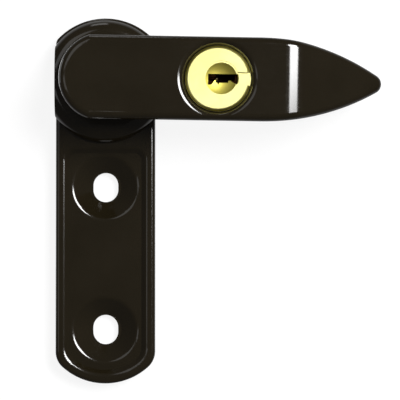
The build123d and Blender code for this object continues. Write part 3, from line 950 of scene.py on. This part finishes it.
@dataclass
class SwingArm:
    """The cast arm with its cover, and the screw that holds it."""

    effects: EffectLibrary
    paint: bpy.types.Material
    plate: bpy.types.Material
    line: ArmLine = ArmLine()
    zinc: StruckMetal = StruckMetal("screw_zinc", (0.52, 0.50, 0.44), (0.44, 0.42, 0.37), (0.18, 0.30))
    pivot_thread: Thread = Thread(crest=0.00165, core=0.00132, pitch=0.0006, neck_y=-0.0022, tip_y=-0.0080)
    cover_thread: Thread = Thread(crest=0.00090, core=0.00064, pitch=0.0005, neck_y=-0.0087, tip_y=-0.0114,
                                  steps=24)
    cover_spots: Tuple[Span, ...] = ((0.0116, 0.00435), (0.0116, -0.00435), (0.0301, 0.0))

    def build(self) -> None:
        """Dress the arm and its fixings, and cut the screws' threads."""
        dress(self.paint, "arm_casting")
        dress(self.plate, "arm_cover", "keyed_washer")
        screw = self.zinc.material(self.effects)
        threaded("pivot_screw", screw, self.pivot_thread, [self.line.point(0.0, 0.0, 0.0)])
        spots = [self.line.point(reach, aside, 0.0) for reach, aside in self.cover_spots]
        threaded("cover_screws", screw, self.cover_thread, spots)


@dataclass
class PinLock:
    """Barrel, plug, pins and the bolt that they free."""

    effects: EffectLibrary
    plate: bpy.types.Material
    centre: Point = (0.0209968, 0.0, 0.0327335)
    plug_centre: Point = (0.0215967, 0.0, 0.0327230)
    # Deeper yellow over the plug's dish: partly the brass's own tone, partly painted shade in the dish.
    dish: PaintedShade = PaintedShade(0.00291, -0.01851, 0.00006, 0.0, (0.80, 0.70, 0.14))
    # Painted shade: near-black inside the keyway.
    keyway: PaintedShade = PaintedShade(0.00305, -0.0176, 0.0003, -0.0115, (0.020, 0.008, 0.003))
    # Painted shade: near-black on the pins and strip inside the keyway.
    mouth: PaintedShade = PaintedShade(0.00305, -0.0176, 0.0003, -0.0162, (0.020, 0.008, 0.003))
    # Painted shade: dark ring on the barrel's bevel where it meets its seat.
    bevel: PaintedShade = PaintedShade(0.0064, -0.01853, 0.00026, -0.01812, (0.36, 0.29, 0.03))
    wire: StruckMetal = StruckMetal("spring_wire", (0.48, 0.48, 0.50), (0.40, 0.40, 0.42), (0.20, 0.30))
    cast: StruckMetal = StruckMetal("cast_zinc", (0.50, 0.51, 0.52), (0.44, 0.45, 0.47), (0.38, 0.52),
                                    waves=1100.0, depth=0.000004)
    pins: int = 4

    def build(self) -> None:
        """Dress the lock's pieces and wind its springs."""
        barrel_brass = TurnedMetal(centre=self.centre, painted_shades=(self.bevel,))
        dress(barrel_brass.material(self.effects), "lock_barrel")
        plug_brass = TurnedMetal("plug_brass", centre=self.plug_centre, painted_shades=(self.dish, self.keyway))
        dress(plug_brass.material(self.effects), "plug")
        pin_brass = TurnedMetal("pin_brass", (0.78, 0.62, 0.30), (0.70, 0.55, 0.26), (0.22, 0.32),
                                centre=self.plug_centre, painted_shades=(self.mouth,)).material(self.effects)
        dress(pin_brass, "chamber_strip")
        wire = self.wire.material(self.effects)
        dress(wire, "plug_clip")
        dress(self.cast.material(self.effects), "drive_cam")
        dress(self.plate, "lock_bolt")
        for number in range(1, self.pins + 1):
            dress(pin_brass, f"key_pin_{number}", f"driver_pin_{number}")
            CoilSpring(number).build(wire)


@dataclass(frozen=True)
class Lamp:
    """A soft box that looks at a point. Its rim is the share of its size in which the glow fades."""

    name: str
    azimuth: float
    elevation: float
    width: float
    height: float
    radiance: float
    rim: float = 0.0
    distance: float = 1.0

    def fade(self, data: bpy.types.AreaLight) -> None:
        """Let the box glow less towards its rim, as cloth over a lamp does.

        Args:
            data: The lamp's light.
        """
        data.use_nodes = True
        sheet = NodeSheet(data.node_tree)
        sheet.tree.nodes.clear()
        surface = sheet.add("ShaderNodeNewGeometry").outputs["Parametric"]
        across = sheet.add("ShaderNodeSeparateXYZ", {0: surface})
        glow = 1.0
        for side in (0, 1):
            spot = across.outputs[side]
            inset = sheet.math("MINIMUM", spot, sheet.math("SUBTRACT", 1.0, spot))
            full = sheet.add("ShaderNodeMapRange", {"Value": inset, "From Max": self.rim},
                             interpolation_type="SMOOTHSTEP")
            glow = sheet.math("MULTIPLY", full.outputs[0], glow)
        shining = sheet.add("ShaderNodeEmission", {"Strength": glow})
        sheet.add("ShaderNodeOutputLight", {"Surface": shining.outputs[0]})

    def build(self, target: Vector) -> bpy.types.Object:
        """Hang the lamp.

        Args:
            target: The point that it looks at.

        Returns:
            The lamp.
        """
        away = towards(self.azimuth, self.elevation)
        data = bpy.data.lights.new(self.name, "AREA")
        data.shape = "RECTANGLE"
        data.size = self.width
        data.size_y = self.height
        data.energy = self.radiance * math.pi * self.width * self.height
        if self.rim:
            self.fade(data)
        lamp = placed(self.name, data)
        lamp.location = target + away * self.distance
        lamp.rotation_euler = (-away).to_track_quat("-Z", "Y").to_euler()
        lamp.visible_camera = False
        return lamp


@dataclass
class Studio:
    """Backdrop, floor, soft boxes and sky."""

    target: Vector
    wall_y: float = 0.0004
    floor_z: float = -0.06
    reach: float = 1.2
    paper_tone: float = 0.18
    wall_glow: float = 0.885
    floor_glow: float = 0.98
    sky_front: float = 0.045
    sky_behind: float = 0.36
    sky_turn: Span = (0.15, 0.55)
    sky_diffuse: float = 0.13
    lamps: Tuple[Lamp, ...] = (
        Lamp("key_box", azimuth=26.5, elevation=16.8, width=0.49, height=0.525, radiance=16.78, rim=0.14),
        Lamp("fill_box", azimuth=-25.0, elevation=24.0, width=0.44, height=0.50, radiance=0.5),
        Lamp("low_box", azimuth=-28.0, elevation=1.0, width=0.34, height=0.16, radiance=0.5),
        Lamp("top_box", azimuth=-90.0, elevation=82.0, width=0.30, height=0.26, radiance=1.0),
        Lamp("side_box", azimuth=-104.0, elevation=12.0, width=0.40, height=0.50, radiance=0.8),
        Lamp("rear_box", azimuth=200.0, elevation=8.0, width=0.70, height=0.30, radiance=1.1),
    )

    def paper(self, name: str, glow: float) -> bpy.types.Material:
        """White paper that shows only from its front, and only to the camera.

        Args:
            name: Name of the material.
            glow: Light that it gives off by itself.

        Returns:
            The material.
        """
        material, sheet = new_material(name)
        paths = sheet.add("ShaderNodeLightPath")
        facing = sheet.add("ShaderNodeNewGeometry").outputs["Backfacing"]
        front = sheet.math("SUBTRACT", 1.0, facing)
        shown = sheet.math("MULTIPLY", paths.outputs["Is Camera Ray"], front)
        matt = sheet.add("ShaderNodeBsdfDiffuse", {"Color": opaque((self.paper_tone,) * 3)})
        own = sheet.add("ShaderNodeEmission", {"Strength": glow})
        lit = sheet.add("ShaderNodeAddShader", {0: matt.outputs[0], 1: own.outputs[0]})
        clear = sheet.add("ShaderNodeBsdfTransparent")
        mix = sheet.add("ShaderNodeMixShader", {0: shown, 1: clear.outputs[0], 2: lit.outputs[0]})
        sheet.add("ShaderNodeOutputMaterial", {"Surface": mix.outputs[0]})
        return material

    def panel(self, name: str, glow: float, corners: Sequence[Point]) -> bpy.types.Object:
        """One flat sheet of the stage.

        Args:
            name: Name of the sheet.
            glow: Light that it gives off by itself.
            corners: Its four corners, anticlockwise as seen from its front.

        Returns:
            The sheet.
        """
        mesh = bpy.data.meshes.new(name)
        mesh.from_pydata([Vector(corner) for corner in corners], [], [(0, 1, 2, 3)])
        mesh.materials.append(self.paper(name, glow))
        panel = placed(name, mesh)
        return panel

    def sky(self) -> None:
        """White for the camera, dimmer in front of the object than behind it."""
        world = bpy.data.worlds.new("studio_sky")
        world.use_nodes = True
        world.node_tree.nodes.clear()
        sheet = NodeSheet(world.node_tree)
        paths = sheet.add("ShaderNodeLightPath")
        depth = sheet.along_y(sheet.add("ShaderNodeTexCoord").outputs["Generated"])
        gloss = sheet.spread(depth, self.sky_turn, (self.sky_front, self.sky_behind))
        mirrored = sheet.choose(paths.outputs["Is Glossy Ray"], self.sky_diffuse, gloss)
        seen = sheet.choose(paths.outputs["Is Camera Ray"], mirrored, 1.0)
        background = sheet.add("ShaderNodeBackground", {"Color": opaque((1.0, 1.0, 1.0)), "Strength": seen})
        sheet.add("ShaderNodeOutputWorld", {"Surface": background.outputs[0]})
        bpy.context.scene.world = world

    def build(self) -> None:
        """Set up the stage and its light."""
        reach, wall, floor = self.reach, self.wall_y, self.floor_z
        self.panel("backdrop", self.wall_glow, [
            (-reach, wall, -reach), (reach, wall, -reach), (reach, wall, reach), (-reach, wall, reach),
        ])
        self.panel("floor", self.floor_glow, [
            (-reach, -reach, floor), (reach, -reach, floor), (reach, reach, floor), (-reach, reach, floor),
        ])
        for lamp in self.lamps:
            lamp.build(self.target)
            LOG.info("hung %s", lamp.name)
        self.sky()


@dataclass
class Viewpoint:
    """The camera, in front of the plate and a little below it."""

    target: Vector
    azimuth: float = 0.0
    elevation: float = -1.5
    distance: float = 0.52
    lens: float = 250.0
    sensor: float = 36.0
    clip: Span = (0.01, 10.0)

    def build(self) -> bpy.types.Object:
        """Place the camera and make it the scene's own.

        Returns:
            The camera.
        """
        away = towards(self.azimuth, self.elevation)
        data = bpy.data.cameras.new("viewpoint")
        data.lens = self.lens
        data.sensor_width = self.sensor
        data.clip_start, data.clip_end = self.clip
        camera = placed("viewpoint", data)
        camera.location = self.target + away * self.distance
        camera.rotation_euler = (-away).to_track_quat("-Z", "Y").to_euler()
        bpy.context.scene.camera = camera
        return camera


def main() -> None:
    """Dress the object and set up the studio."""
    logging.basicConfig(level=logging.INFO, format="%(message)s")
    bpy.context.scene.view_settings.view_transform = "Standard"
    effects = EffectLibrary()
    paint = PowderCoat().material(effects)
    plate = StruckMetal().material(effects)
    BasePlate(effects, paint).build()
    SwingArm(effects, paint, plate).build()
    PinLock(effects, plate).build()
    Studio((CAD_BOX[0] + CAD_BOX[1]) / 2).build()
    Viewpoint(Vector(CAMERA_TARGET)).build()


if __name__ == "__main__":
    main()
